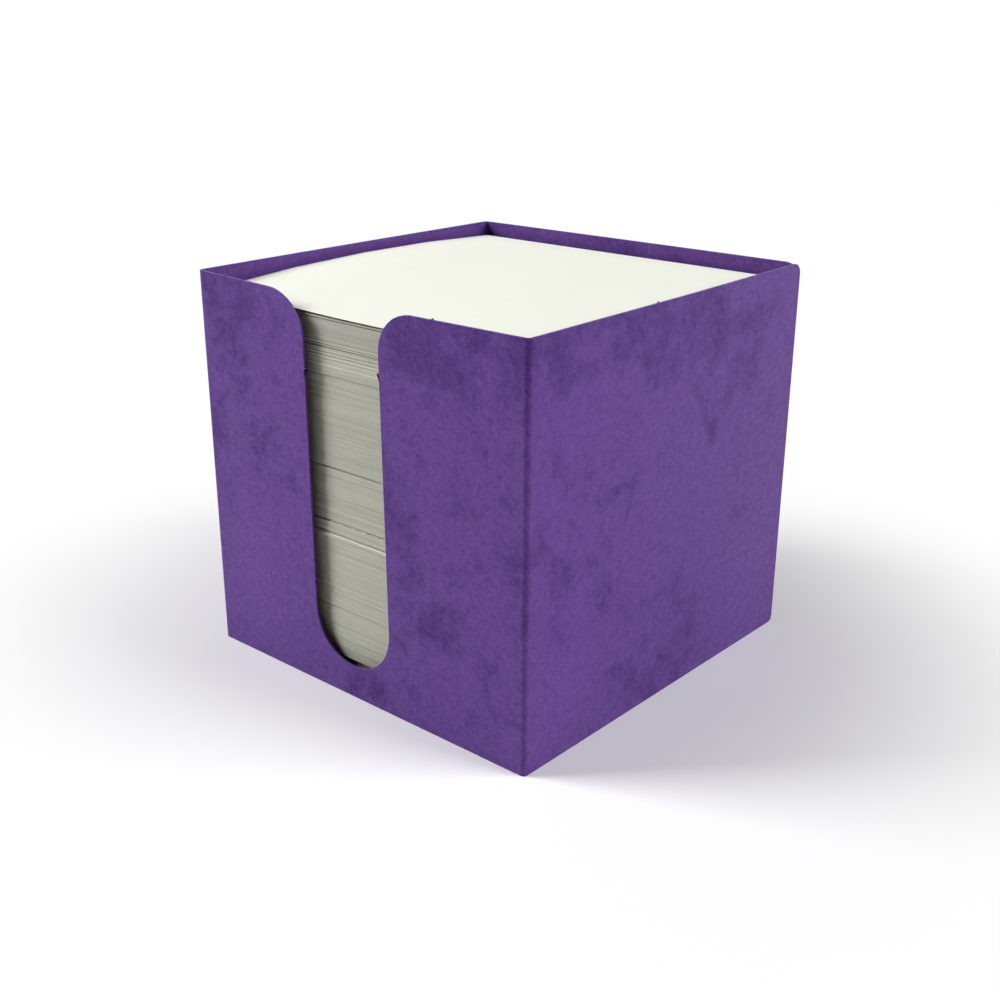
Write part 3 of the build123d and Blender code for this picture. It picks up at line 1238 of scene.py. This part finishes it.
    def profile(self, low: float, high: float) -> tuple[np.ndarray, np.ndarray, np.ndarray]:
        """Gives the rows of a wad's side: out at each sheet's middle, in at the groove between two.

        Args:
            low: height of its underside.
            high: height of its top.

        Returns:
            Height, offset, and tone with painted shade in the grooves, of each row.
        """
        count = max(1, round((high - low) / self.sheet))
        step = (high - low) / count
        middles = low + step * (np.arange(count) + 0.5)
        strays = self.draw.normal(0.0, self.stray, count).clip(-self.stray_limit, self.stray_limit)
        tones = self.draw.normal(0.0, self.tone_spread, count)
        beside = np.concatenate((strays[:1], strays, strays[-1:]))
        grooves = np.minimum(beside[:-1], beside[1:]) - self.groove
        height = np.empty(2 * count + 1)
        offset = np.empty(2 * count + 1)
        tone_and_light = np.empty(2 * count + 1)
        height[0::2] = low + step * np.arange(count + 1)
        height[1::2] = middles
        offset[0::2] = grooves
        offset[1::2] = strays
        tone_and_light[1::2] = tones
        between = (np.concatenate((tones[:1], tones)) + np.concatenate((tones, tones[-1:]))) / 2
        tone_and_light[0::2] = between - self.groove_shade
        return height, offset, tone_and_light

    def drawn_back(self, height: np.ndarray, x: np.ndarray) -> np.ndarray:
        """Gives how far the edges draw back where the stack parts.

        Each parting gives depth exp(-((height - its own) / spread)^2), less towards the right by its
        fade, and broken up at random in the slot's reach by its raggedness.

        Args:
            height: height of each row.
            x: place of each point of a row across the stack.

        Returns:
            The distance, by row and point.
        """
        span = self.slot_reach[1] - self.slot_reach[0]
        along = np.clip((x - self.slot_reach[0]) / span, 0.0, 1.0)
        total = np.zeros((len(height), len(x)))
        for parting in self.partings:
            near = np.exp(-(((height - parting.height) / parting.spread) ** 2))
            torn = (self.draw.random(len(x)) < self.torn_share) & (along > 0.0) & (along < 1.0)
            share = (1.0 - parting.fade * along) * (1.0 - parting.ragged * torn)
            total += parting.depth * near[:, None] * share[None, :]
        return total

    def build_wad(self, node: str, body: str, top: float) -> None:
        """Builds one wad as a grid of rows from the middle of its underside to the middle of its top.

        Row i is the perimeter moved out by the row's offset. Lower rows lie further forward, by up to
        forward at the floor, and those below the set-back height lie further back by setback. The
        rows of the two faces shrink to the middle, where one vertex closes them.

        Args:
            node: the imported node.
            body: the body that it rides on.
            top: height of its top at the front edge.
        """
        low, high = node_box(node)
        underside = low[2]
        centre = (low[:2] + high[:2]) / 2
        ring, outward = self.perimeter((high[:2] - low[:2]) / 2)
        height, offset, tone_and_light = self.profile(underside, top)
        # Painted highlights and painted shade on the sheet edges, added to their tone.
        for edge_light in self.painted_edge_lights:
            tone_and_light = tone_and_light + edge_light.amount * np.exp(-(((height - edge_light.height) / edge_light.spread) ** 2))
        moved = offset[:, None] - self.drawn_back(height, ring[:, 0])
        side = centre + ring[None, :, :] + outward[None, :, :] * moved[:, :, None]
        side[:, :, 1] -= self.forward * np.maximum(1.0 - height / self.forward_height, 0.0)[:, None]
        side[:, :, 1] += self.setback * (height < self.setback_height)[:, None]
        shrink = np.append(np.arange(1, self.cap_rings) / self.cap_rings, self.brink)[:, None, None]
        bottom = centre + (side[0] - centre)[None] * shrink
        cap = centre + (side[-1] - centre)[None] * shrink[::-1]
        rows = np.vstack((bottom, side, cap))
        row_height = np.concatenate((np.full(len(bottom), underside), height, np.full(len(cap), top)))
        flat = np.vstack((centre, rows.reshape(-1, 2), centre))
        levels = np.concatenate(([underside], np.repeat(row_height, len(ring)), [top]))
        points = np.column_stack((flat, self.lift(levels, flat[:, 0], flat[:, 1])))
        is_side = np.concatenate((np.zeros(len(bottom)), np.ones(len(height)), np.zeros(len(cap))))
        # Tone of the sheet edges with their painted highlights and painted shade; the faces get none.
        row_tone_and_light = np.concatenate((np.zeros(len(bottom)), tone_and_light, np.zeros(len(cap))))
        attributes = {
            "edge": np.concatenate(([0.0], np.repeat(is_side, len(ring)), [0.0])),
            "tone_and_light": np.concatenate(([0.0], np.repeat(row_tone_and_light, len(ring)), [0.0])),
        }
        faces, smooth = self.grid_faces(len(rows), len(ring), len(bottom), len(bottom) + len(height) - 1)
        piece = make_piece(node + "_paper", points, faces, smooth, attributes)
        dress(piece, self.finish, node, body)
        self.pieces.append(piece)

    @staticmethod
    def grid_faces(rows: int, around: int, first_side: int, last_side: int) -> tuple[np.ndarray, np.ndarray]:
        """Joins the rows of a wad and closes both ends with fans.

        Args:
            rows: number of rows.
            around: points in a row.
            first_side: number of the first row of the side.
            last_side: number of the last row of the side.

        Returns:
            The faces, and whether each is smooth. The side is flat shaded, so that its edges stay crisp.
        """
        number = 1 + np.arange(rows * around).reshape(rows, around)
        ahead = np.roll(number, -1, axis=1)
        quads = np.stack((number[:-1], ahead[:-1], ahead[1:], number[1:]), axis=-1)
        row_smooth = np.ones(rows - 1, bool)
        row_smooth[first_side:last_side] = False
        start = np.zeros(around, int)
        end = np.full(around, rows * around + 1)
        first_fan = np.column_stack((ahead[0], number[0], start, start))
        last_fan = np.column_stack((number[-1], ahead[-1], end, end))
        faces = np.vstack((first_fan, quads.reshape(-1, 4), last_fan))
        fan_smooth = np.ones(around, bool)
        smooth = np.concatenate((fan_smooth, np.repeat(row_smooth, around), fan_smooth))
        return faces, smooth

    def build(self) -> list[bpy.types.Object]:
        """Builds every wad on its own body, each up to the underside of the next.

        Returns:
            The pieces.
        """
        bodies = frame["record"]["behaviour"]["bodies"]
        wads = [(node, body) for body, nodes in bodies.items() if body != "case" for node in nodes]
        wads.sort(key=lambda wad: node_box(wad[0])[0][2])
        tops = [node_box(node)[0][2] for node, _ in wads[1:]] + [self.top]
        for (node, body), top in zip(wads, tops):
            self.build_wad(node, body, top)
        return self.pieces


@dataclass(frozen=True)
class Lamp:
    """A soft rectangular lamp that points at the middle of the box."""

    name: str
    place: Triple
    size: float
    power: float

    def build(self, target: Vector) -> None:
        """Hangs the lamp.

        Args:
            target: the point that it faces, in metres.
        """
        light = bpy.data.lights.new(self.name, "AREA")
        light.shape = "SQUARE"
        light.size = self.size
        light.energy = self.power
        lamp = bpy.data.objects.new(self.name, light)
        lamp.location = self.place
        lamp.rotation_mode = "QUATERNION"
        lamp.rotation_quaternion = (target - Vector(self.place)).to_track_quat("-Z", "Y")
        bpy.context.scene.collection.objects.link(lamp)


@dataclass
class Studio:
    """The camera at the photograph's viewing angle, a pale floor and plain soft light."""

    azimuth: float = 41.14
    elevation: float = 20.73
    distance: float = 0.31313
    target: Triple = (-0.00088, 0.0, 0.03342)
    roll: float = 0.22
    lens: float = 47.34
    sensor: float = 36.0
    near: float = 0.01
    floor_half: float = 4.0
    floor_drop: float = 0.00003
    fade: Pair = (0.06, 0.16)
    floor_white: Colour = (0.95, 0.95, 0.95, 1.0)
    floor_bounce: Colour = (0.90, 0.90, 0.90, 1.0)
    lamps: tuple[Lamp, ...] = (
        Lamp("overhead_lamp", (-0.20, 0.10, 2.0), 2.0, 4.5),
        Lamp("left_lamp", (-0.70, -0.55, 0.58), 0.46, 11.7),
        Lamp("right_lamp", (1.30, 0.60, 0.90), 1.0, 25.0),
    )

    def build_camera(self) -> None:
        """Sets the camera on a sphere round its target, with its small roll."""
        azimuth, elevation = math.radians(self.azimuth), math.radians(self.elevation)
        level = math.cos(elevation)
        back = Vector((math.sin(azimuth) * level, -math.cos(azimuth) * level, math.sin(elevation)))
        lens = bpy.data.cameras.new("camera")
        lens.sensor_width = self.sensor
        lens.lens = self.lens
        lens.clip_start = self.near
        camera = bpy.data.objects.new("camera", lens)
        turn = (-back).to_track_quat("-Z", "Y").to_matrix().to_4x4()
        place = Matrix.Translation(Vector(self.target) + back * self.distance)
        camera.matrix_world = place @ turn @ Matrix.Rotation(math.radians(self.roll), 4, "Z")
        bpy.context.scene.collection.objects.link(camera)
        bpy.context.scene.camera = camera

    def build_floor(self) -> None:
        """Lays the floor, which keeps the box's shadow close by and runs out into white for the camera."""
        half, drop = self.floor_half / METRES_PER_MM, -self.floor_drop / METRES_PER_MM
        square = ((-half, -half), (half, -half), (half, half), (-half, half))
        corners = np.array([(x, y, drop) for x, y in square])
        floor = make_piece("studio_floor", corners, np.array(((0, 1, 2, 3),)), np.zeros(1, bool), {})
        sheet = ShaderSheet(bpy.data.materials.new("studio_floor"))
        seen = sheet.seen()
        radius = sheet.add("ShaderNodeVectorMath", {0: sheet.place()}, operation="LENGTH")
        far = sheet.span(radius.outputs["Value"], self.fade, (0.0, 1.0))
        colour = sheet.mix(seen, self.floor_bounce, self.floor_white)
        matt = sheet.add("ShaderNodeBsdfDiffuse", {"Color": colour})
        white = sheet.add("ShaderNodeEmission", {"Color": WHITE, "Strength": 1.0})
        shown = sheet.sum(far, seen, "MULTIPLY")
        mixed = sheet.add("ShaderNodeMixShader", {0: shown, 1: matt.outputs[0], 2: white.outputs[0]})
        sheet.add("ShaderNodeOutputMaterial", {"Surface": mixed.outputs[0]})
        floor.data.materials.append(sheet.owner)

    def build_world(self) -> None:
        """Gives surroundings that the camera and reflections see as plain white, and that shed no light."""
        sheet = ShaderSheet(bpy.data.worlds.new("studio"))
        surround = sheet.add("ShaderNodeBackground", {"Color": WHITE, "Strength": sheet.seen()})
        sheet.add("ShaderNodeOutputWorld", {"Surface": surround.outputs[0]})
        bpy.context.scene.world = sheet.owner

    def build(self) -> None:
        """Builds the camera, floor, surroundings and lamps."""
        self.build_camera()
        self.build_floor()
        self.build_world()
        for lamp in self.lamps:
            lamp.build(Vector(self.target))
        bpy.context.scene.view_settings.view_transform = "Standard"


def main() -> None:
    """Builds the case, the sheets and the studio."""
    logging.basicConfig(level=logging.INFO, format="%(name)s %(message)s")
    for maker in (Case(), NoteStack()):
        for piece in maker.build():
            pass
    Studio().build()


if __name__ == "__main__":
    main()
